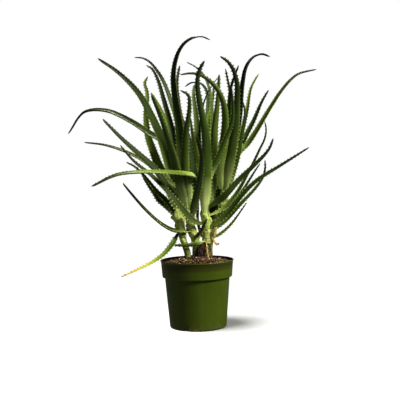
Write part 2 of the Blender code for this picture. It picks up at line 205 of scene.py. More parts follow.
def applied(thing):
    """The plain mesh that an object's modifiers make."""
    return bpy.data.meshes.new_from_object(thing.evaluated_get(bpy.context.evaluated_depsgraph_get()))


def turned(name, profile, steps, wobble=None):
    """A body turned about Z from an outline of (radius, z) in millimetres, on the axis at both ends."""
    bm = bmesh.new()
    rings = []
    for r, z in profile:
        if r == 0.0:
            rings.append([bm.verts.new((0.0, 0.0, z * MM))])
            continue
        ring = []
        for k in range(steps):
            a = 2 * pi * k / steps
            spot = Vector((r * cos(a), r * sin(a), z))
            ring.append(bm.verts.new((wobble(spot) if wobble else spot) * MM))
        rings.append(ring)
    for low, high in zip(rings, rings[1:]):
        for k in range(steps):
            corners = [low[k % len(low)], low[(k + 1) % len(low)],
                       high[(k + 1) % len(high)], high[k % len(high)]]
            bm.faces.new(list(dict.fromkeys(corners)))
    bmesh.ops.recalc_face_normals(bm, faces=bm.faces[:])
    return mesh_from(bm, name)


pot_profile = [(0.0, 0.0), (30.0, 0.0), (FOOT_RADIUS - 4.0, 0.0)]
pot_profile += arc(FOOT_RADIUS - 3.4, 3.4, 3.4, -90, 2, 7)
pot_profile += [(FOOT_RADIUS + (BODY_TOP_RADIUS - FOOT_RADIUS) * k / 12, 5 + (BAND_LOW - 6) * k / 12)
                for k in range(1, 13)]
pot_profile += arc(BODY_TOP_RADIUS + 0.8, BAND_LOW - 0.2, 0.8, 180, 90, 3)
pot_profile += arc(BAND_LOW_RADIUS - 1.4, BAND_LOW + 1.4, 1.4, -90, 5, 5)
pot_profile += [(BAND_LOW_RADIUS + (LIP_RADIUS - 1.3 - BAND_LOW_RADIUS) * k / 6, BAND_LOW + 2 + 31 * k / 6)
                for k in range(1, 6)]
pot_profile += [(LIP_RADIUS - 1.35, POT_HEIGHT - 4.2)]
pot_profile += arc(LIP_RADIUS - 1.5, POT_HEIGHT - 1.5, 1.5, -60, 200, 14)
pot_profile += [(BAND_LOW_RADIUS - POT_WALL + 0.4, BAND_LOW + 5.0),
                (BODY_TOP_RADIUS - POT_WALL, BAND_LOW + 2.6), (FOOT_RADIUS - POT_WALL, 5.0),
                (FOOT_RADIUS - 4.5, POT_WALL), (0.0, POT_WALL)]
pot = add_object("pot_shell", turned("pot_shell", pot_profile, POT_SIDES))
for k in range(NOTCH_COUNT):
    bm = bmesh.new()
    bmesh.ops.create_cube(bm, size=1.0)
    bmesh.ops.scale(bm, verts=bm.verts[:], vec=NOTCH_CUT)
    bmesh.ops.bevel(bm, geom=[e for e in bm.edges if abs(e.verts[0].co.x - e.verts[1].co.x) > 0.01],
                    offset=0.002, segments=3, affect="EDGES")
    bmesh.ops.translate(bm, verts=bm.verts[:], vec=(FOOT_RADIUS * MM, 0.0, 0.0))
    bmesh.ops.rotate(bm, verts=bm.verts[:], cent=(0, 0, 0),
                     matrix=Matrix.Rotation(radians(NOTCH_TURN + 360.0 / NOTCH_COUNT * k), 3, "Z"))
    cutter = add_object("notch_cutter", mesh_from(bm, "notch_cutter", smooth=False))
    cut = pot.modifiers.new("notch", "BOOLEAN")
    cut.object = cutter
    cut.operation = "DIFFERENCE"
    cut.solver = "EXACT"
    whole = applied(pot)
    pot.modifiers.clear()
    pot.data = whole
    bpy.data.objects.remove(cutter)


def ramp(tree, source, *stops):
    """A colour ramp through (position, colour) stops."""
    node = put(tree, "ShaderNodeValToRGB", Fac=source)
    elements = node.color_ramp.elements
    for element, (position, colour) in zip(elements, (stops[0], stops[-1])):
        element.position, element.color = position, (*colour, 1)
    for position, colour in stops[1:-1]:
        elements.new(position).color = (*colour, 1)
    return node.outputs[0]


def mix(tree, factor, a, b):
    """Two colours mixed by a factor; each may be a socket or a plain value."""
    return put(tree, "ShaderNodeMix", {"data_type": "RGBA", "clamp_factor": True},
               {0: factor, 6: a, 7: b}).outputs[2]


def maths(tree, operation, *values, clamp=False):
    """One Math node; each value may be a socket or a number."""
    return put(tree, "ShaderNodeMath", {"operation": operation, "use_clamp": clamp},
               dict(enumerate(values))).outputs[0]


def times(tree, a, b, clamp=False):
    """Two masks, or a mask and a number, multiplied."""
    return maths(tree, "MULTIPLY", a, b, clamp=clamp)


def between(tree, value, start, end, smooth=False):
    """A mask that goes from 0 to 1 as a value goes from start to end."""
    return put(tree, "ShaderNodeMapRange", {"interpolation_type": "SMOOTHSTEP" if smooth else "LINEAR"},
               {"From Min": start, "From Max": end}, Value=value).outputs[0]


def cloud(tree, coords, scale, detail, **more):
    """A noise texture's value on the given coordinates."""
    return put(tree, "ShaderNodeTexNoise", values={"Scale": scale, "Detail": detail, **more},
               Vector=coords).outputs["Fac"]


def blotches(tree, coords, scale, detail=3.0, low=0.35, high=0.65, stretch=(1.0, 1.0, 1.0)):
    """A soft noise mask from 0 to 1 on the given coordinates."""
    moved = put(tree, "ShaderNodeMapping", values={"Scale": stretch}, Vector=coords)
    return between(tree, cloud(tree, moved.outputs[0], scale, detail, Roughness=0.55), low, high)


def attribute(tree, name):
    """The node that reads one of the mesh's own attributes."""
    return put(tree, "ShaderNodeAttribute", {"attribute_name": name})


def relief(tree, shader, strength, distance, height):
    """Fine relief on a shader's surface, its distance in metres."""
    bump = put(tree, "ShaderNodeBump", values={"Strength": strength, "Distance": distance}, Height=height)
    tree.links.new(bump.outputs[0], shader.inputs["Normal"])


def part_of(tree, place, axis):
    """One coordinate of a place."""
    return put(tree, "ShaderNodeSeparateXYZ", Vector=place).outputs[axis]


def distance(tree, place):
    """How far a place is from the origin."""
    return put(tree, "ShaderNodeVectorMath", {"operation": "LENGTH"}, {0: place}).outputs["Value"]


def from_axis(tree, place):
    """The distance of a place from the Z axis."""
    level = put(tree, "ShaderNodeVectorMath", {"operation": "MULTIPLY"}, {0: place, 1: (1.0, 1.0, 0.0)})
    return distance(tree, level.outputs[0])


plastic, pt, plastic_shader = new_material("green_polypropylene", 0.42, 0.16)
place = own_place(pt)
height = part_of(pt, place, "Z")
shade = mix(pt, blotches(pt, place, 9.0, low=0.4, high=0.65), (0.046, 0.070, 0.0035),
            (0.060, 0.088, 0.0045))
flow = blotches(pt, place, 60.0, detail=2.0, low=0.5, high=0.75, stretch=(1.0, 1.0, 0.06))
shade = mix(pt, times(pt, flow, 0.35), shade, (0.075, 0.105, 0.013))
dusty = times(pt, between(pt, height, 0.022, 0.0), blotches(pt, place, 70.0, low=0.45, high=0.7))
shade = mix(pt, times(pt, dusty, 0.5), shade, (0.13, 0.12, 0.08))
scuff = blotches(pt, place, 230.0, detail=4.0, low=0.68, high=0.74, stretch=(1.0, 1.0, 0.35))
shade = mix(pt, times(pt, scuff, 0.45), shade, (0.16, 0.20, 0.10))
# Painted shade: the inside of the sloping rim band, above the mix, is darkened to dark brown where shade
# falls inside the pot
BAND_SLOPE = (LIP_RADIUS - BAND_LOW_RADIUS) / (POT_HEIGHT - BAND_LOW)
inward = maths(pt, "MULTIPLY_ADD", height, -BAND_SLOPE, from_axis(pt, place))
within = between(pt, inward, 0.0613, 0.0606)
upper = between(pt, height, 0.120, 0.124)
shade = mix(pt, times(pt, times(pt, within, upper), 0.85), shade, (0.024, 0.010, 0.005))
# Dried mud about the front notch
mud_at = put(pt, "ShaderNodeMapping", values={"Location": (0.62, 1.14, 0.0), "Scale": (46.0, 20.0, 120.0)},
             Vector=place)
muddy = between(pt, distance(pt, mud_at.outputs[0]), 1.0, 0.45)
muddy = times(pt, muddy, blotches(pt, place, 160.0, low=0.28, high=0.50), clamp=True)
mud = mix(pt, blotches(pt, place, 420.0), (0.070, 0.034, 0.012), (0.34, 0.22, 0.06))
shade = mix(pt, muddy, shade, mud)
pt.links.new(shade, plastic_shader.inputs["Base Color"])
gloss = maths(pt, "MULTIPLY_ADD", blotches(pt, place, 30.0, detail=4.0), 0.16, 0.36)
pt.links.new(gloss, plastic_shader.inputs["Roughness"])
relief(pt, plastic_shader, 0.08, 0.0006, cloud(pt, place, 420.0, 2.0))
pot.data.materials.clear()
pot.data.materials.append(plastic)
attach(pot, "root")
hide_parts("pot")

# Only the pot blocks the lamp that lights the sweep
shadow_of = bpy.data.collections.new("shadow_of")
shadow_of.objects.link(pot)
lamps["shadow_lamp"].light_linking.blocker_collection = shadow_of

# ------------------------------ potting mix and bark chips
# Dark potting mix fills the pot and is mounded round the stems. Reddish bark chips, with a few
# pale bits of grit and wood, lie loose on top of it.
SOIL_EDGE = 131.5
SOIL_CROWN = 144.0
SOIL_RADIUS = 73.2
CHIPS_ABOVE = 0.131       # in metres: no chips on the buried faces
CHIPS_WITHIN = 0.0685     # and none in the wall of the pot


def lumpy(spot):
    """Raises and sinks the top of the soil a little."""
    if spot.z > 125.0:
        spot.z += 1.3 * noise.noise(spot * 0.09) + 0.7 * noise.noise(spot * 0.3)
    return spot


soil_profile = [(0.0, 100.0), (40.0, 100.0), (65.0, 108.5), (70.0, 110.5), (SOIL_RADIUS, SOIL_EDGE)]
for k in range(1, 25):
    r = SOIL_RADIUS * (1 - k / 25)
    t = max(0.0, 1 - r / SOIL_RADIUS)
    soil_profile.append((r, SOIL_EDGE + (SOIL_CROWN - SOIL_EDGE) * min(1.0, t * 1.35) ** 1.15))
soil_profile.append((0.0, SOIL_CROWN))
soil_mesh = turned("potting_mix", soil_profile, 96, lumpy)
earth, et, earth_shader = new_material("dark_potting_mix", 0.95)
place = own_place(et)
dirt = mix(et, blotches(et, place, 160.0, detail=5.0), (0.012, 0.006, 0.004), (0.060, 0.026, 0.016))
et.links.new(dirt, earth_shader.inputs["Base Color"])
relief(et, earth_shader, 0.7, 0.002, cloud(et, place, 500.0, 5.0))
soil_mesh.materials.append(earth)
soil = add_object("potting_mix", soil_mesh)

chip_material, ct, chip_shader = new_material("bark_chip", 0.88)
tint = attribute(ct, "chip_tint").outputs["Fac"]
place = own_place(ct)
bark = ramp(ct, tint, (0.0, (0.010, 0.005, 0.003)), (0.30, (0.040, 0.014, 0.006)),
            (0.58, (0.105, 0.038, 0.017)), (0.80, (0.230, 0.095, 0.050)), (0.90, (0.300, 0.200, 0.070)),
            (0.96, (0.460, 0.290, 0.160)), (1.0, (0.720, 0.620, 0.460)))
grain = blotches(ct, place, 420.0, detail=4.0, stretch=(1.0, 0.35, 1.0))
bark = mix(ct, times(ct, grain, 0.55), bark, (0.030, 0.012, 0.008))
ct.links.new(bark, chip_shader.inputs["Base Color"])
relief(ct, chip_shader, 0.5, 0.001, cloud(ct, place, 700.0, 4.0))

# Vector noise, which crumples the chips and the dry leaves, starts from the clock unless seeded
noise.seed_set(7)
chip_shapes = []
CHIP_SIZES = ((9.0, 4.6, 1.9), (6.5, 4.8, 2.4), (11.5, 3.4, 1.6), (4.2, 3.4, 2.4))
for k, (long, wide, thick) in enumerate(CHIP_SIZES):
    bm = bmesh.new()
    bmesh.ops.create_cube(bm, size=1.0)
    bmesh.ops.subdivide_edges(bm, edges=bm.edges[:], cuts=1)
    for v in bm.verts:
        v.co = v.co * (1.0 - 0.28 * max(0.0, v.co.length - 0.55))
        v.co += 0.16 * noise.noise_vector(v.co * 1.7 + Vector((k * 5.3, 2.0, 1.0)))
        v.co = Vector((v.co.x * long, v.co.y * wide, v.co.z * thick)) * MM
    chip_shapes.append(bpy.data.objects.new(f"chip_{k}", mesh_from(bm, f"chip_{k}", smooth=False)))


def geometry_tree(name, **inputs):
    """A geometry node tree with a Geometry input and output and the given kinds of named inputs."""
    tree = bpy.data.node_groups.new(name, "GeometryNodeTree")
    tree.interface.new_socket(name="Geometry", in_out="INPUT", socket_type="NodeSocketGeometry")
    tree.interface.new_socket(name="Geometry", in_out="OUTPUT", socket_type="NodeSocketGeometry")
    for label, kind in inputs.items():
        tree.interface.new_socket(name=label, in_out="INPUT", socket_type="NodeSocket" + kind)
    return tree, tree.nodes.new("NodeGroupInput"), tree.nodes.new("NodeGroupOutput")


def grown(base, tree, **values):
    """The plain mesh that a geometry node tree makes from an object's mesh."""
    modifier = base.modifiers.new("grow", "NODES")
    modifier.node_group = tree
    for item in tree.interface.items_tree:
        if item.name in values:
            modifier[item.identifier] = values[item.name]
    mesh = applied(base)
    base.modifiers.remove(modifier)
    return mesh


def above(tree, height):
    """True where the mesh is higher than this, in metres."""
    level = part_of(tree, put(tree, "GeometryNodeInputPosition").outputs[0], "Z")
    return put(tree, "FunctionNodeCompare", {"operation": "GREATER_THAN"}, {0: level, 1: height}).outputs[0]


def random_value(tree, low, high, seed):
    """A random number or vector between two for each point; the seed is a socket or a number."""
    kind, first, result = ("FLOAT_VECTOR", 0, 0) if isinstance(low, tuple) else ("FLOAT", 2, 1)
    return put(tree, "FunctionNodeRandomValue", {"data_type": kind},
               {first: low, first + 1: high, "Seed": seed}).outputs[result]


def sown(tree, group, chosen):
    """Points scattered over the chosen faces, as dense as the group's inputs say."""
    return put(tree, "GeometryNodeDistributePointsOnFaces", {"distribute_method": "RANDOM"},
               Mesh=group.outputs["Geometry"], Selection=chosen, Density=group.outputs["Density"],
               Seed=group.outputs["Seed"])


def instance_of(tree, thing):
    """An object outside the scene, as one instance."""
    held = put(tree, "GeometryNodeObjectInfo", values={"As Instance": True, "Object": thing})
    return held.outputs["Geometry"]


def tagged(tree, instances, name, seed):
    """Instances that each carry a random number from 0 to 1 in an attribute."""
    return put(tree, "GeometryNodeStoreNamedAttribute", {"data_type": "FLOAT", "domain": "INSTANCE"},
               {"Name": name}, Geometry=instances, Value=random_value(tree, 0.0, 1.0, seed)).outputs[0]


def dressed(tree, instances, material):
    """Instances made into plain geometry and given a material."""
    real = put(tree, "GeometryNodeRealizeInstances", Geometry=instances)
    return put(tree, "GeometryNodeSetMaterial", Geometry=real.outputs[0], Material=material).outputs[0]


# Loose chips: points scattered over the top of the mix, a chip laid on each
chips, gi, go = geometry_tree("loose_chips", Density="Float", Seed="Int", Material="Material")
where = put(chips, "GeometryNodeInputPosition").outputs[0]
inside = put(chips, "FunctionNodeCompare", {"operation": "LESS_THAN"},
             {0: from_axis(chips, where), 1: CHIPS_WITHIN})
top_only = put(chips, "FunctionNodeBooleanMath", {"operation": "AND"},
               {0: above(chips, CHIPS_ABOVE), 1: inside.outputs[0]})
scatter = sown(chips, gi, top_only.outputs[0])
heap = put(chips, "GeometryNodeJoinGeometry")
for shape in reversed(chip_shapes):
    chips.links.new(instance_of(chips, shape), heap.inputs[0])
turn = random_value(chips, (-0.55, -0.55, 0.0), (0.55, 0.55, 6.283), gi.outputs["Seed"])
spin = put(chips, "FunctionNodeEulerToRotation", Euler=turn)
lay = put(chips, "GeometryNodeInstanceOnPoints", values={"Pick Instance": True},
          Points=scatter.outputs["Points"], Instance=heap.outputs[0], Rotation=spin.outputs[0],
          Scale=random_value(chips, 0.45, 1.15, gi.outputs["Seed"]))
lift = put(chips, "GeometryNodeTranslateInstances", None,
           {"Translation": (0.0, 0.0, 0.0008), "Local Space": False},
           Instances=tagged(chips, lay.outputs[0], "chip_tint", 7))
chips.links.new(dressed(chips, lift.outputs[0], gi.outputs["Material"]), go.inputs[0])

bark_chips = add_object("bark_chips", grown(soil, chips, Density=90000.0, Seed=3, Material=chip_material))
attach(soil, "root")
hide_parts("soil")
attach(bark_chips, "root")

# ------------------------------ canes
# Four live stems, 8 to 17 mm thick with their old sheaths. They are pale green and smooth between
# the ring scars that fallen leaves left, and brown and corky close to the soil.


def merged(node):
    """A CAD node's mesh with its loose triangles joined up."""
    bm = bmesh.new()
    bm.from_mesh(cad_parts[node].data)
    bmesh.ops.remove_doubles(bm, verts=bm.verts[:], dist=1e-6)
    return bm


def through(points, steps):
    """Points of a smooth line through the given ones, with this many steps between neighbours."""
    ends = [points[0] * 2 - points[1], *points, points[-1] * 2 - points[-2]]
    line = []
    for a, b, c, d in zip(ends, ends[1:], ends[2:], ends[3:]):
        for k in range(steps):
            t = k / steps
            line.append(0.5 * (2 * b + (c - a) * t + (2 * a - 5 * b + 4 * c - d) * t * t
                               + (3 * b - a - 3 * c + d) * t ** 3))
    return line + [points[-1].copy()]


def heading(line, k):
    """The direction of a line of points at one of them."""
    return (line[min(k + 1, len(line) - 1)] - line[max(k - 1, 0)]).normalized()


def hoop(centre, axis, radius, sides, lump):
    """Points of a circle round an axis, in metres, roughened by noise."""
    side = axis.cross(Vector((0.0, 1.0, 0.0))).normalized()
    other = axis.cross(side).normalized()
    ring = []
    for k in range(sides):
        a = 2 * pi * k / sides
        out = side * cos(a) + other * sin(a)
        swell = 1.0 + lump * noise.noise((centre + out * radius) * 90.0)
        ring.append(centre + out * radius * swell)
    return ring


def bridge(bm, rows):
    """Faces between neighbouring rings of vertices, all of the same count."""
    count = len(rows[0])
    for low, high in zip(rows, rows[1:]):
        for k in range(count):
            bm.faces.new((low[k], low[(k + 1) % count], high[(k + 1) % count], high[k]))


def enclose(bm, rows, point=None):
    """A closed skin over rings of vertices that ends flat or in a point."""
    bridge(bm, rows)
    if point:
        for a, b in zip(rows[-1], rows[-1][1:] + rows[-1][:1]):
            bm.faces.new((a, b, point))
    bm.faces.new(rows[0][::-1])
    if not point:
        bm.faces.new(rows[-1])
    bmesh.ops.recalc_face_normals(bm, faces=bm.faces[:])


def skinned(name, rings):
    """A closed tube through rings of points, with its ends filled."""
    bm = bmesh.new()
    enclose(bm, [[bm.verts.new(p) for p in ring] for ring in rings])
    return mesh_from(bm, name)


cane_skin, kt, cane_shader = new_material("cane_skin", 0.5)
place = own_place(kt)
height = part_of(kt, place, "Z")
low_down = between(kt, height, 0.185, 0.142)
green = mix(kt, blotches(kt, place, 45.0), (0.20, 0.28, 0.045), (0.36, 0.44, 0.11))
streak = blotches(kt, place, 240.0, detail=3.0, stretch=(1.0, 1.0, 0.08))
green = mix(kt, times(kt, streak, 0.45), green, (0.090, 0.140, 0.030))
corky = mix(kt, streak, (0.060, 0.034, 0.018), (0.200, 0.120, 0.058))
patch = blotches(kt, place, 70.0, low=0.45, high=0.6)
brown = times(kt, maths(kt, "MULTIPLY_ADD", patch, 0.7, 0.45), low_down, clamp=True)
skin = mix(kt, brown, green, corky)
scar = attribute(kt, "scar").outputs["Fac"]
skin = mix(kt, times(kt, scar, 0.75), skin, (0.150, 0.085, 0.035))
kt.links.new(skin, cane_shader.inputs["Base Color"])
relief(kt, cane_shader, 0.4, 0.0008, streak)

CANE_SIDES = 28
SECTION_VERTS = 12        # in each cross section of a CAD cane
SCAR_SPACING = 0.0105     # in metres
# How much the sheaths of lost leaves thicken each cane
CANE_COATS = {"cane_center": 1.30, "cane_middle": 1.40, "cane_left": 1.50, "cane_right": 1.20}
cane_lines = {}
for node, coat in CANE_COATS.items():
    bm = merged(node)
    stack = sorted((v.co.copy() for v in bm.verts), key=lambda p: p.z)
    bm.free()
    stations = [stack[k:k + SECTION_VERTS] for k in range(0, len(stack), SECTION_VERTS)]
    centres = [sum(ring, Vector()) / len(ring) for ring in stations]
    girths = [Vector((coat * sum((p - c).length for p in ring) / len(ring), 0.0, 0.0))
              for ring, c in zip(stations, centres)]
    line, girth = through(centres, 12), [g.x for g in through(girths, 12)]
    cane_lines[node] = list(zip(line, girth))
    rings, scars, travelled = [], [], 0.0
    for k, (spot, radius) in enumerate(zip(line, girth)):
        ahead = heading(line, k)
        travelled += (spot - line[k - 1]).length if k else 0.0
        band = (travelled / SCAR_SPACING + 0.35 * noise.noise(spot * 60.0)) % 1.0
        ridge = max(0.0, 1.0 - abs(band - 0.5) / 0.16)
        rings.append(hoop(spot, ahead, radius * (0.97 + 0.05 * ridge), CANE_SIDES, 0.05))
        scars.append(ridge * (0.4 + 0.6 * abs(noise.noise(spot * 30.0 + Vector((3.0, 0.0, 0.0))) * 2)))
    cane_mesh = skinned(node + "_stem", rings)
    write(cane_mesh, "scar", [s for s in scars for _ in range(CANE_SIDES)])
    cane_mesh.materials.append(cane_skin)
    stem = add_object(node + "_stem", cane_mesh)
    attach(stem, "root")
    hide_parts(node)

# ------------------------------ leaves
# Long tapering blades, channelled above and rounded below, each clasping its cane with a pale
# sheath. The flesh is green under a grey bloom, and soft pale teeth stand along both margins.
# For each leaf: brightness (partly its own tone and partly painted light and shade), yellowness, darkness
# of the tip, paleness of the foot (partly its own pale base and partly a painted highlight)
LEAF_LOOKS = {
    "l1": (0.85, 0.28, 0.35, 0.30), "l2": (0.80, 0.20, 0.30, 0.30), "l3": (1.20, 0.95, 0.00, 0.00),
    "m1": (1.35, 0.12, 0.90, 0.50), "m2": (1.00, 0.05, 0.40, 1.00), "m3": (1.10, 0.10, 0.40, 1.00),
    "m4": (0.62, 0.00, 0.60, 0.25), "m5": (0.85, 0.00, 1.00, 0.50), "m6": (0.60, 0.00, 0.60, 0.30),
    "m7": (0.85, 0.00, 0.80, 0.40), "m8": (0.95, 0.00, 0.70, 0.50), "m9": (1.30, 0.45, 0.50, 0.40),
    "m10": (1.90, 0.35, 0.20, 0.60), "m11": (0.75, 0.22, 0.95, 0.40), "m12": (0.50, 0.20, 0.50, 0.15),
    "m13": (0.70, 0.20, 0.60, 0.40), "m14": (0.60, 0.00, 0.50, 0.30), "m15": (0.75, 0.25, 0.60, 0.50),
    "m16": (0.60, 0.25, 0.60, 0.30), "c1": (1.15, 0.05, 0.50, 1.00), "c2": (1.50, 0.45, 0.60, 0.80),
    "c3": (1.90, 0.00, 0.50, 0.60), "c4": (0.70, 0.30, 0.10, 0.30), "c5": (1.50, 0.55, 0.20, 0.80),
    "c6": (0.60, 0.05, 0.50, 0.30), "c7": (1.00, 0.10, 0.50, 0.50), "c8": (1.00, 0.05, 0.60, 0.50),
    "c9": (1.80, 0.10, 0.30, 0.50), "c10": (0.42, 0.18, 0.60, 0.12), "c11": (1.10, 0.20, 0.30, 0.50),
    "c12": (1.05, 0.50, 0.80, 0.80), "c13": (0.95, 0.08, 0.60, 0.10), "c14": (1.00, 0.12, 0.60, 0.10),
    "c15": (1.30, 0.20, 0.50, 0.40), "c16": (0.85, 0.12, 0.50, 0.15), "c17": (0.95, 0.12, 0.50, 0.10),
    "c18": (0.80, 0.20, 0.50, 0.15), "r1": (0.95, 0.05, 0.80, 0.50), "r2": (1.35, 0.35, 0.90, 0.60),
    "r3": (1.25, 0.10, 0.60, 0.50), "r4": (1.30, 0.60, 0.20, 0.50), "r5": (0.45, 0.00, 1.00, 0.30),
    "r6": (0.60, 0.05, 0.70, 0.30), "r7": (0.90, 0.10, 0.70, 0.50), "r8": (1.45, 0.15, 0.25, 0.50),
    "r9": (0.60, 0.05, 0.60, 0.30), "b1": (0.80, 0.10, 0.60, 0.40), "b2": (0.80, 0.15, 0.60, 0.40),
    "b3": (0.80, 0.10, 0.60, 0.40), "b4": (0.45, 0.05, 0.30, 0.30), "b5": (0.50, 0.10, 0.40, 0.30)}
# The leaves whose blades are drawn fuller or slimmer than their solids, and by how much
FULLER = {
    "m16": 1.50, "l3": 1.05, "r5": 1.35, "m5": 1.12, "m11": 1.80, "m15": 2.00, "m13": 1.45, "m1": 1.28,
    "m12": 1.20, "c12": 1.40, "c11": 1.20, "c13": 0.82, "c14": 0.94, "r2": 0.90, "r4": 1.15, "m8": 0.90,
    "m7": 0.94, "b4": 1.70, "b5": 1.50, "r8": 1.10, "l1": 1.10, "m14": 1.40, "m6": 1.25, "c9": 1.40,
    "c8": 1.35, "c5": 1.45, "c2": 1.30, "b1": 1.60, "b3": 1.60, "m4": 1.15, "m10": 1.40, "m9": 1.20,
    "c4": 1.15}
TOOTH_SPACING = 0.0075

# The colour of the flesh, shared by the blades and their teeth
flesh = bpy.data.node_groups.new("aloe_flesh", "ShaderNodeTree")
for label, kind in (("Color", "Color"), ("Streaks", "Float"), ("Bloom", "Float"), ("Green Part", "Float")):
    flesh.interface.new_socket(name=label, in_out="OUTPUT", socket_type="NodeSocket" + kind)
fo = flesh.nodes.new("NodeGroupOutput")
along = attribute(flesh, "along").outputs["Fac"]
look = put(flesh, "ShaderNodeSeparateColor", Color=attribute(flesh, "look").outputs["Color"])
foot = attribute(flesh, "look").outputs["Alpha"]
spot = attribute(flesh, "spread").outputs["Vector"]
body = ramp(flesh, along, (0.0, (0.088, 0.145, 0.014)), (0.14, (0.048, 0.088, 0.008)),
            (0.45, (0.034, 0.070, 0.009)), (0.8, (0.025, 0.050, 0.009)), (1.0, (0.020, 0.034, 0.008)))
streaks = blotches(flesh, spot, 1.0, detail=3.0, low=0.3, high=0.7, stretch=(14.0, 420.0, 1.0))
body = mix(flesh, times(flesh, streaks, 0.4), body, (0.018, 0.040, 0.005))
cloudy = blotches(flesh, spot, 1.0, detail=3.0, low=0.4, high=0.75, stretch=(22.0, 60.0, 1.0))
body = mix(flesh, times(flesh, cloudy, 0.18), body, (0.110, 0.155, 0.034))
ripe = ramp(flesh, along, (0.0, (0.040, 0.080, 0.010)), (0.25, (0.060, 0.110, 0.012)),
            (0.45, (0.20, 0.27, 0.016)), (0.65, (0.50, 0.46, 0.03)), (0.88, (0.60, 0.38, 0.06)),
            (1.0, (0.34, 0.18, 0.06)))
golden = mix(flesh, maths(flesh, "GREATER_THAN", look.outputs["Green"], 0.9), (0.24, 0.33, 0.035), ripe)
body = mix(flesh, look.outputs["Green"], body, golden)
# Painted highlight in part: the pale foot is the leaf's own pale base, made paler still to stand in for the
# light on its neck
pale_end = ramp(flesh, along, *((at, (grey,) * 3) for at, grey in (
    (0.0, 1.0), (0.08, 0.95), (0.14, 0.45), (0.26, 0.0))))
body = mix(flesh, times(flesh, times(flesh, pale_end, foot), 0.85), body,
           mix(flesh, streaks, (0.90, 0.98, 0.50), (0.68, 0.82, 0.26)))
# Painted light and shade: each leaf's brightness, partly its own tone, is raised on lit and backlit leaves
# and lowered on shaded ones
bright = put(flesh, "ShaderNodeHueSaturation", Value=look.outputs["Red"], Color=body)
char = between(flesh, along, 0.42, 0.95, smooth=True)
dark = mix(flesh, times(flesh, char, look.outputs["Blue"]), bright.outputs[0], (0.008, 0.010, 0.004))
clasp = attribute(flesh, "sheath").outputs["Fac"]
dark = mix(flesh, clasp, dark, mix(flesh, streaks, (0.78, 0.88, 0.36), (0.40, 0.52, 0.11)))
for label, result in (("Color", dark), ("Green Part", between(flesh, along, 0.85, 0.40, smooth=True)),
                      ("Streaks", streaks), ("Bloom", cloudy)):
    flesh.links.new(result, fo.inputs[label])

blade_skin, bt, blade_shader = new_material("aloe_skin", 0.4, 0.22)
core = put(bt, "ShaderNodeGroup", {"node_tree": flesh})
rim = attribute(bt, "rim").outputs["Fac"]
edge = between(bt, rim, 0.35, 0.95)
pale_edge = times(bt, times(bt, edge, 0.35), core.outputs["Green Part"])
skin = mix(bt, pale_edge, core.outputs["Color"], (0.40, 0.54, 0.18))
bt.links.new(skin, blade_shader.inputs["Base Color"])
wax = maths(bt, "MULTIPLY_ADD", core.outputs["Bloom"], 0.16, 0.48)
bt.links.new(wax, blade_shader.inputs["Roughness"])
relief(bt, blade_shader, 0.35, 0.0006, core.outputs["Streaks"])

thorn_skin, tt, thorn_shader = new_material("aloe_tooth", 0.55, 0.2)
core = put(tt, "ShaderNodeGroup", {"node_tree": flesh})
barb = attribute(tt, "barb").outputs["Fac"]
tinted = maths(tt, "MULTIPLY_ADD", barb, 0.5, 0.30)
horn = mix(tt, times(tt, tinted, core.outputs["Green Part"]), core.outputs["Color"], (0.62, 0.72, 0.27))
tt.links.new(horn, thorn_shader.inputs["Base Color"])

# One tooth, 1 unit tall and leaning towards the leaf's tip
bm = bmesh.new()
sections = ((-0.35, 0.62, 0.26, 0.0), (0.25, 0.36, 0.15, 0.05), (0.70, 0.13, 0.07, 0.20))
hoops = [[bm.verts.new((lean + long * cos(pi * k / 3), wide * sin(pi * k / 3), up)) for k in range(6)]
         for up, long, wide, lean in sections]
point = bm.verts.new((0.38, 0.0, 1.0))
enclose(bm, hoops, point)
tooth_mesh = mesh_from(bm, "tooth")
write(tooth_mesh, "barb", [max(0.0, v.co.z) for v in tooth_mesh.vertices])
tooth = bpy.data.objects.new("tooth", tooth_mesh)


def named(tree, kind, name):
    """A mesh attribute read by name in a geometry node tree."""
    return put(tree, "GeometryNodeInputNamedAttribute", {"data_type": kind}, {"Name": name}).outputs[0]


# Teeth along the two margins of a blade
toothed, gi, go = geometry_tree("margin_teeth", Spacing="Float", Seed="Int", Material="Material")
on_rim = named(toothed, "BOOLEAN", "margin")
edges = put(toothed, "GeometryNodeMeshToCurve", Mesh=gi.outputs["Geometry"], Selection=on_rim)
spaced = put(toothed, "GeometryNodeResampleCurve", {"mode": "LENGTH"}, Curve=edges.outputs[0],
             Length=gi.outputs["Spacing"])
points = put(toothed, "GeometryNodeCurveToPoints", {"mode": "EVALUATED"}, Curve=spaced.outputs[0])
stand = put(toothed, "FunctionNodeAxesToRotation", {"primary_axis": "Z", "secondary_axis": "X"},
            {0: named(toothed, "FLOAT_VECTOR", "outward"), 1: named(toothed, "FLOAT_VECTOR", "tipward")})
fit = times(toothed, named(toothed, "FLOAT", "tooth"), random_value(toothed, 0.75, 1.2, gi.outputs["Seed"]))
row = put(toothed, "GeometryNodeInstanceOnPoints", Points=points.outputs["Points"],
          Instance=instance_of(toothed, tooth), Rotation=stand.outputs[0], Scale=fit)
both = put(toothed, "GeometryNodeJoinGeometry")
toothed.links.new(dressed(toothed, row.outputs[0], gi.outputs["Material"]), both.inputs[0])
toothed.links.new(gi.outputs["Geometry"], both.inputs[0])
toothed.links.new(both.outputs[0], go.inputs[0])


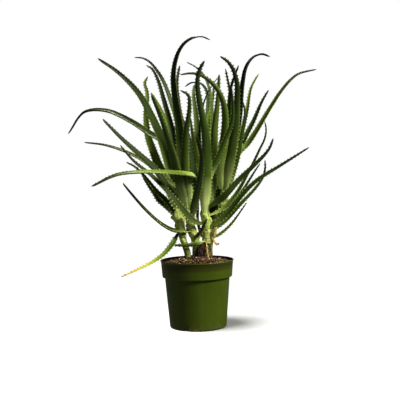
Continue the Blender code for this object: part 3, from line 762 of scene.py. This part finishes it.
def leaf_frames(node):
    """A CAD leaf's rings from base to tip: centre, half-width vector and depth vector, then the tip with no
    width.
    """
    bm = merged(node)
    for start in bm.verts:
        levels, seen = [[start]], {start}
        while levels[-1]:
            found = []
            for v in levels[-1]:
                for e in v.link_edges:
                    other = e.other_vert(v)
                    if other not in seen:
                        seen.add(other)
                        found.append(other)
            levels.append(found)
        if len(levels) > 4 and all(len(level) == 6 for level in levels[1:-1]):
            break
    rings = [[v.co.copy() for v in level] for level in levels[-2:0:-1]]
    tip = start.co.copy()
    bm.free()
    frames, previous = [], None
    for ring in rings:
        a, b = max(((p, q) for p in ring for q in ring), key=lambda pair: (pair[0] - pair[1]).length)
        rest = [p for p in ring if p is not a and p is not b]
        centre = (a + b) / 2
        half = (a - b) / 2
        down = sum(rest, Vector()) / 4 - centre
        down -= half * down.dot(half) / half.length_squared
        down.normalize()
        depth = max((p - centre).dot(down) for p in rest)
        if previous is not None and half.dot(previous) < 0:
            half = -half
        previous = half
        frames.append((centre, half, down * depth))
    ahead = frames[1][0] - frames[0][0]
    if ahead.cross(frames[0][2]).dot(frames[0][1]) < 0:
        frames = [(c, -h, d) for c, h, d in frames]
    frames.append((tip, Vector(), Vector()))
    return frames


SECTION = [(u, 0.04) for u in (-0.95, -0.82, -0.55, -0.27, 0.0, 0.27, 0.55, 0.82, 0.95)]
SECTION += [(1.0, -0.08), (0.93, -0.26), (0.78, -0.62), (0.48, -0.90), (0.0, -1.0),
            (-0.48, -0.90), (-0.78, -0.62), (-0.93, -0.26), (-1.0, -0.08)]
MARGIN_AT = (9, 17)                # where the margins lie in it
SHEATH_LENGTH = 0.020
SHEATH_RINGS = 8
JOIN_RINGS = 5                     # spans between a blade's foot and its sheath
BARE_RINGS = 4                     # of the blade, next to the sheath: no teeth
NECK = 0.16                        # share of the length over which a blade is still narrow
BLADE_STEPS = 5
TOOTH_HEIGHT = 0.0035
tallest = cad_high[2] - 0.0015     # no blade rises past this, so its teeth stay below the top


def placed(spot, u, width, run, across, ahead, **shares):
    """A new vertex of the blade, with what its colours and teeth are made from."""
    vert = bm.verts.new(spot)
    shares.update(rim=max(0.0, abs(u) * 6.0 - 5.0), spread=(run, u * width, index * 7.3),
                  outward=across * (1.0 if u > 0 else -1.0), tipward=ahead)
    for label, value in shares.items():
        vert[store[label]] = value
    return vert


for index, (key, looks) in enumerate(LEAF_LOOKS.items()):
    node, fuller = "leaf_" + key, FULLER.get(key, 1.0)
    frames = leaf_frames(node)
    middles, halves, depths = (through([f[column] for f in frames], BLADE_STEPS) for column in range(3))
    length = sum((b - a).length for a, b in zip(middles, middles[1:]))
    widest = max(half.length for half in halves)
    bm = bmesh.new()
    store = {label: bm.verts.layers.float.new(label) for label in ("along", "rim", "tooth", "sheath")}
    store |= {label: bm.verts.layers.float_vector.new(label) for label in ("spread", "outward", "tipward")}
    rows, run = [], 0.0
    for k, (middle, half, depth) in enumerate(zip(middles[:-1], halves, depths)):
        run += (middle - middles[k - 1]).length if k else 0.0
        t = run / length
        ahead = heading(middles, k)
        past_widest = max(0.0, (t - NECK) / (1.0 - NECK))
        nose = sqrt(max(0.04, 1.0 - max(0.0, (t - 0.965) / 0.035) ** 2))
        taper = (1.0 - 0.78 * past_widest ** 1.15) * nose
        neck = 1.0 - 0.30 * max(0.0, 1.0 - t / NECK) ** 1.3
        width = (half.length * neck if t < NECK else widest * taper) * fuller
        width *= 1.0 + 0.03 * noise.noise(Vector((run * 40.0, index * 3.7, 0.0)))
        across = half.normalized()
        up = -depth.normalized()
        round_off = max(0.0, min(1.0, (t - 0.45) / 0.5))
        thick = depth.length * 0.96 * max(1.0, fuller) * (1 - round_off) + width * 1.1 * round_off
        channel = 0.30 + 0.35 * sin(pi * min(1.0, t * 1.5)) if t < 0.667 else 0.30
        tooth_size = TOOTH_HEIGHT * min(1.0, 0.3 + t * 9.0) * (1.0 - 0.25 * t) * (t < 0.97)
        row = []
        for u, v in SECTION:
            dip = channel * (1 - (u / 0.95) ** 2) if v > 0 else 0.0
            spot = middle + across * u * width + up * (v - dip) * thick
            spot.z = min(spot.z, tallest)
            row.append(placed(spot, u, width, run, across, ahead, along=t, tooth=tooth_size))
        rows.append(row)

    # The sheath: from the blade's foot round the cane and down along it
    start, across, up = middles[0], halves[0].normalized(), -depths[0].normalized()
    back = (middles[0] - middles[1]).normalized()
    cane, near = min(((line, k) for line in cane_lines.values() for k in range(len(line))),
                     key=lambda pair: (pair[0][pair[1]][0] - start).length)
    near = max(near, 6)
    axis = (cane[near][0] - cane[near - 1][0]).normalized()
    facing = start - cane[near][0]
    facing -= axis * facing.dot(axis)
    under = -up - axis * (-up).dot(axis)
    facing = (facing.normalized() * min(1.0, facing.length / 0.004) + under.normalized() * 0.6).normalized()
    beside = axis.cross(facing)
    if beside.dot(across) < 0:
        beside = -beside
    hang = SHEATH_LENGTH * (0.8 + 0.5 * noise.noise(Vector((index * 1.7, 0.0, 0.0))))
    feet = []
    for j in range(SHEATH_RINGS):
        down = j / (SHEATH_RINGS - 1)
        drop, k = 0.003 + hang * down, near
        while k > 1 and drop > 0.0:
            drop -= (cane[k][0] - cane[k - 1][0]).length
            k -= 1
        spot, girth = cane[k]
        turn = 1.05 + 1.55 * down ** 0.8
        inner = girth * (0.98 - 0.10 * (down == 1.0))
        skin_depth = 0.0022 * (1.0 - 0.62 * down)
        feet.append([spot + (facing * cos(u * turn) + beside * sin(u * turn))
                     * (inner + max(0.0, -v) ** 0.6 * skin_depth) for u, v in SECTION])
    blade_foot = [v.co.copy() for v in rows[0]]
    span = (start - sum(feet[0], Vector()) / len(SECTION)).length
    joins = []
    for j in range(1, JOIN_RINGS):
        t = j / JOIN_RINGS
        ease = t * t * (3 - 2 * t)
        joins.append([(a + back * span * t * 0.7) * (1 - ease) + (b + axis * span * (1 - t) * 0.5) * ease
                      for a, b in zip(blade_foot, feet[0])])
    lower = []
    for j, ring in enumerate(joins + feet, 1):
        lower.append([placed(p, u, 0.008, -0.004 * j, across, axis, sheath=min(1.0, j / JOIN_RINGS))
                      for (u, _), p in zip(SECTION, ring)])
    rows = lower[::-1] + rows
    first_toothed = len(lower) + BARE_RINGS
    point = bm.verts.new(middles[-1])
    point[store["along"]] = 1.0
    enclose(bm, rows, point)
    bm.verts.index_update()
    rim_ids = {row[k].index for row in rows[first_toothed:] for k in MARGIN_AT}
    blade_mesh = mesh_from(bm, node + "_blade")
    write(blade_mesh, "look", [c for _ in blade_mesh.vertices for c in looks], "FLOAT_COLOR", "color")
    write(blade_mesh, "margin", [v.index in rim_ids for v in blade_mesh.vertices], "BOOLEAN")
    blade_mesh.materials.append(blade_skin)
    blade = add_object(node + "_blade", blade_mesh)
    blade.data = grown(blade, toothed, Spacing=TOOTH_SPACING, Seed=index, Material=thorn_skin)
    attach(blade, "root")
    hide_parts(node)

# ------------------------------ old sheaths on the canes
# Collars left where lower leaves died back: thin, streaked and split, pale green where they are
# fresh and straw-coloured where they have dried, each wrapped round the cane below the next.
collar_skin, ot, collar_shader = new_material("old_sheath", 0.6)
place = own_place(ot)
worn = attribute(ot, "worn").outputs["Fac"]
veins = blotches(ot, place, 300.0, detail=3.0, stretch=(1.0, 1.0, 0.10))
fresh = mix(ot, veins, (0.66, 0.78, 0.25), (0.30, 0.42, 0.07))
straw = mix(ot, veins, (0.62, 0.50, 0.24), (0.20, 0.11, 0.04))
mottle = blotches(ot, place, 120.0, low=0.42, high=0.6)
skin = mix(ot, maths(ot, "MULTIPLY_ADD", mottle, 0.5, worn, clamp=True), fresh, straw)
ot.links.new(skin, collar_shader.inputs["Base Color"])
relief(ot, collar_shader, 0.5, 0.0008, veins)

# Cane, how far up it (0 to 1), height in metres, side the tall edge faces in degrees, dryness, flare
COLLARS = (
    ("center", 0.02, 0.020, 250, 0.15, 0.0012), ("center", 0.09, 0.022, 100, 0.0, 0.0012),
    ("center", 0.17, 0.024, 300, -0.1, 0.0012), ("center", 0.27, 0.026, 200, -0.2, 0.0012),
    ("center", 0.38, 0.028, 280, -0.3, 0.0012), ("middle", 0.44, 0.016, 240, 0.3, 0.0012),
    ("middle", 0.52, 0.020, 300, 0.0, 0.0012), ("middle", 0.62, 0.022, 200, -0.2, 0.0012),
    ("left", 0.56, 0.014, 230, 0.2, 0.0012), ("left", 0.70, 0.018, 280, 0.0, 0.0012),
    ("right", 0.40, 0.018, 220, 0.3, 0.0012), ("right", 0.50, 0.022, 280, 0.0, 0.0012),
    ("right", 0.60, 0.024, 240, -0.2, 0.0012), ("right", 0.70, 0.024, 300, -0.3, 0.0012),
    ("left", 0.66, 0.030, 150, -0.2, 0.0060), ("left", 0.82, 0.034, 130, -0.3, 0.0065),
    ("middle", 0.34, 0.026, 40, 0.0, 0.0045), ("middle", 0.48, 0.032, 150, -0.2, 0.0060),
    ("center", 0.30, 0.034, 30, -0.3, 0.0050))
COLLAR_SIDES = 32
# How high up a collar each ring of its shell lies, and how far out from the cane in metres
COLLAR_SHELL = ((0.0, -0.0002), (0.0, 0.0009), (0.35, 0.0016), (0.75, 0.0017), (1.0, 0.0013), (1.0, 0.0007),
                (0.6, 0.0004))
bm = bmesh.new()
worn_layer = bm.verts.layers.float.new("worn")
for number, (which, height_on, tall, side, dryness, widening) in enumerate(COLLARS):
    line = cane_lines["cane_" + which]
    k = round(height_on * (len(line) - 2))
    spot, girth = line[k]
    axis = (line[k + 1][0] - line[max(k - 1, 0)][0]).normalized()
    u_dir = axis.cross(Vector((0.0, 1.0, 0.0))).normalized()
    w_dir = axis.cross(u_dir).normalized()
    shell = []
    for rise, offset in COLLAR_SHELL:
        ring = []
        for n in range(COLLAR_SIDES):
            a = 2 * pi * n / COLLAR_SIDES
            turned_away = 0.5 - 0.5 * cos(a - radians(side))
            torn = 0.16 * noise.noise(Vector((cos(a) * 2.4, sin(a) * 2.4, number * 4.1)))
            top = tall * (1.0 - 0.55 * turned_away + torn)
            out = u_dir * cos(a) + w_dir * sin(a)
            ruffle = noise.noise(Vector((cos(a) * 1.5, sin(a) * 1.5, number * 2.0)))
            flare = widening * rise ** 3 * (1.0 + ruffle)
            vert = bm.verts.new(spot + axis * (top * rise - 0.002) + out * (girth + offset + flare))
            vert[worn_layer] = dryness + 0.5 * rise ** 4
            ring.append(vert)
        shell.append(ring)
    bridge(bm, shell + shell[:1])
bmesh.ops.recalc_face_normals(bm, faces=bm.faces[:])
collar_mesh = mesh_from(bm, "old_sheaths")
collar_mesh.materials.append(collar_skin)
collars = add_object("old_sheaths", collar_mesh)
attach(collars, "root")

# ------------------------------ woody stump
# The oldest wood of the plant, at the soil: a dark, corky crown wrapped in the split fibres of
# leaf bases that rotted away years ago, yellower and fresher on its right side.
bark_skin, wt, bark_shader = new_material("old_bark", 0.85)
place = own_place(wt)
right_side = between(wt, part_of(wt, place, "X"), 0.010, 0.024)
cork = blotches(wt, place, 260.0, detail=4.0, stretch=(1.0, 1.0, 0.2))
dark_wood = mix(wt, cork, (0.010, 0.006, 0.004), (0.075, 0.032, 0.018))
tan_wood = mix(wt, cork, (0.090, 0.055, 0.018), (0.480, 0.370, 0.130))
strip_tint = attribute(wt, "strip_tint").outputs["Fac"]
blend_sides = times(wt, right_side, maths(wt, "MULTIPLY_ADD", strip_tint, 0.9, 0.12), clamp=True)
wt.links.new(mix(wt, blend_sides, dark_wood, tan_wood), bark_shader.inputs["Base Color"])
relief(wt, bark_shader, 0.8, 0.0015, cork)

STUMP_SIDES = 44
FIBRES_ABOVE = 0.137      # in metres: none under the soil
# Centre x, centre y, half width, half depth and z, in millimetres
STUMP = ((15, 3, 15, 12, 100), (14, 3, 17, 13, 134), (13, 3, 18.5, 13, 143), (13, 3, 17.5, 11.5, 152),
         (13.5, 3, 16, 10.5, 160), (14.5, 3, 13.5, 9.5, 167), (16.5, 3, 10.5, 8.5, 172),
         (19, 3, 6.5, 6, 175))
shape = through([Vector(row[:2] + (row[4],)) for row in STUMP], 4)
spans = through([Vector((row[2], row[3], 0)) for row in STUMP], 4)
rings = []
for centre, span in zip(shape, spans):
    ring = []
    for k in range(STUMP_SIDES):
        a = 2 * pi * k / STUMP_SIDES
        out = Vector((span.x * cos(a), span.y * sin(a), 0.0))
        groove = 0.10 * noise.noise(Vector((cos(a) * 5.0, sin(a) * 5.0, centre.z * 0.04)))
        knob = 0.10 * noise.noise((centre + out) * 0.16)
        ring.append((centre + out * (0.97 + groove + knob)) * MM)
    rings.append(ring)
stump_mesh = skinned("woody_stump", rings)
stump_mesh.materials.append(bark_skin)
stump = add_object("woody_stump", stump_mesh)

# One split fibre, 1 unit long and curling out at the top
bm = bmesh.new()
sections = []
for up, out, half in ((-0.5, 0.0, 0.07), (-0.25, 0.015, 0.085), (0.05, 0.03, 0.075), (0.32, 0.08, 0.055),
                      (0.5, 0.17, 0.02)):
    sections.append([bm.verts.new((up, y * half, out + z))
                     for y, z in ((-1, 0.0), (0, 0.035), (1, 0.0), (0, -0.02))])
enclose(bm, sections)
fibre = bpy.data.objects.new("fibre", mesh_from(bm, "fibre", smooth=False))

# Fibres over a surface, standing up along it
thatch, gi, go = geometry_tree("split_fibres", Density="Float", Length="Float", Seed="Int",
                               Material="Material")
spots = sown(thatch, gi, above(thatch, FIBRES_ABOVE))
stand = put(thatch, "FunctionNodeAxesToRotation", {"primary_axis": "Z", "secondary_axis": "X"},
            {0: spots.outputs["Normal"],
             1: random_value(thatch, (-0.45, -0.45, 0.6), (0.45, 0.45, 1.0), gi.outputs["Seed"])})
fit = times(thatch, gi.outputs["Length"], random_value(thatch, 0.5, 1.25, gi.outputs["Seed"]))
laid = put(thatch, "GeometryNodeInstanceOnPoints", Points=spots.outputs["Points"],
           Instance=instance_of(thatch, fibre), Rotation=stand.outputs[0], Scale=fit)
tinted = tagged(thatch, laid.outputs[0], "strip_tint", 11)
thatch.links.new(dressed(thatch, tinted, gi.outputs["Material"]), go.inputs[0])
fibres = add_object("split_fibres", grown(stump, thatch, Density=70000.0, Length=0.013, Seed=5,
                                          Material=bark_skin))
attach(stump, "root")
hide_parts("cane_center_base")
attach(fibres, "root")

# ------------------------------ dried leaf remains
# Two withered leaf bases, papery and crumpled: a peach-brown one curled against the middle cane,
# and a straw-coloured stub hooked outwards on the right of the central one. Two loose curls of
# the same dry leaf lie below the stub.
papery, dt, papery_shader = new_material("dried_leaf", 0.7)
place = own_place(dt)
parched = attribute(dt, "parched").outputs["Fac"]
lines = blotches(dt, place, 330.0, detail=4.0, stretch=(1.0, 1.0, 0.25))
beige = mix(dt, lines, (0.80, 0.76, 0.36), (0.42, 0.36, 0.11))
peach = mix(dt, lines, (0.85, 0.52, 0.28), (0.34, 0.14, 0.05))
dt.links.new(mix(dt, parched, beige, peach), papery_shader.inputs["Base Color"])
relief(dt, papery_shader, 0.8, 0.0012, lines)

SHEET_COLUMNS = 15
SHEET_THICKNESS = 0.0007
# Node, browner from 0 to 1, wrap of the sheet in degrees, then x, y, z, half width and facing along it
REMAINS = (
    ("dried_sheath", 1.0, 170, ((-6, 3, 178, 3.5, 265), (-9, 2, 187, 5.5, 262), (-12, 2, 195, 7.0, 255),
                                (-15, 0, 202, 6.5, 245), (-19, -3, 207, 4.0, 235))),
    ("dried_stub", 0.25, 200, ((27, 0, 168, 2.0, 300), (32, -3, 177, 3.5, 300), (36, -6, 187, 4.5, 305),
                               (39, -9, 197, 5.0, 310), (42, -11, 207, 4.0, 320))),
    (None, 0.55, 190, ((33, -2, 184, 2.0, 300), (38, -6, 178, 3.2, 310), (42, -9, 172, 3.0, 330),
                       (47, -10, 172, 1.8, 350))),
    (None, 0.45, 120, ((20, -7, 176, 1.6, 270), (21, -10, 165, 2.2, 270), (22, -12, 154, 1.8, 268),
                       (23, -13.5, 145, 1.1, 265))))
for number, (node, browner, wrap, stations) in enumerate(REMAINS):
    path = through([Vector(row[:3]) for row in stations], 6)
    sizes = through([Vector((row[3], row[4], 0)) for row in stations], 6)
    bm = bmesh.new()
    rows = []
    for k, (middle, size) in enumerate(zip(path, sizes)):
        out = Vector((cos(radians(size.y)), sin(radians(size.y)), 0.0))
        ahead = heading(path, k)
        out = (out - ahead * out.dot(ahead)).normalized()
        side = ahead.cross(out)
        row = []
        for n in range(SHEET_COLUMNS):
            a = radians(wrap) * (n / (SHEET_COLUMNS - 1) - 0.5)
            p = middle + (out * (cos(a) - 0.6) + side * sin(a)) * size.x
            p += 1.1 * noise.noise_vector(p * 0.22 + Vector((number * 3.0, 0.0, 0.0)))
            p += ahead * 2.2 * noise.noise(Vector((n * 0.45, number * 5.0, k * 0.1))) * (k / len(path)) ** 2
            row.append(bm.verts.new(p * MM))
        rows.append(row)
    for low, high in zip(rows, rows[1:]):
        for n in range(SHEET_COLUMNS - 1):
            bm.faces.new((low[n], low[n + 1], high[n + 1], high[n]))
    label = node or f"dried_curl_{number}"
    scrap = add_object(label + "_husk", mesh_from(bm, label + "_sheet", smooth=False))
    scrap.modifiers.new("body", "SOLIDIFY").thickness = SHEET_THICKNESS
    scrap.modifiers.new("soft", "SUBSURF").levels = 1
    husk_mesh = applied(scrap)
    scrap.modifiers.clear()
    scrap.data = husk_mesh
    husk_mesh.polygons.foreach_set("use_smooth", [True] * len(husk_mesh.polygons))
    write(husk_mesh, "parched", [browner] * len(husk_mesh.vertices))
    husk_mesh.materials.append(papery)
    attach(scrap, "root")
    if node:
        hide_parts(node)

low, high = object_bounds()
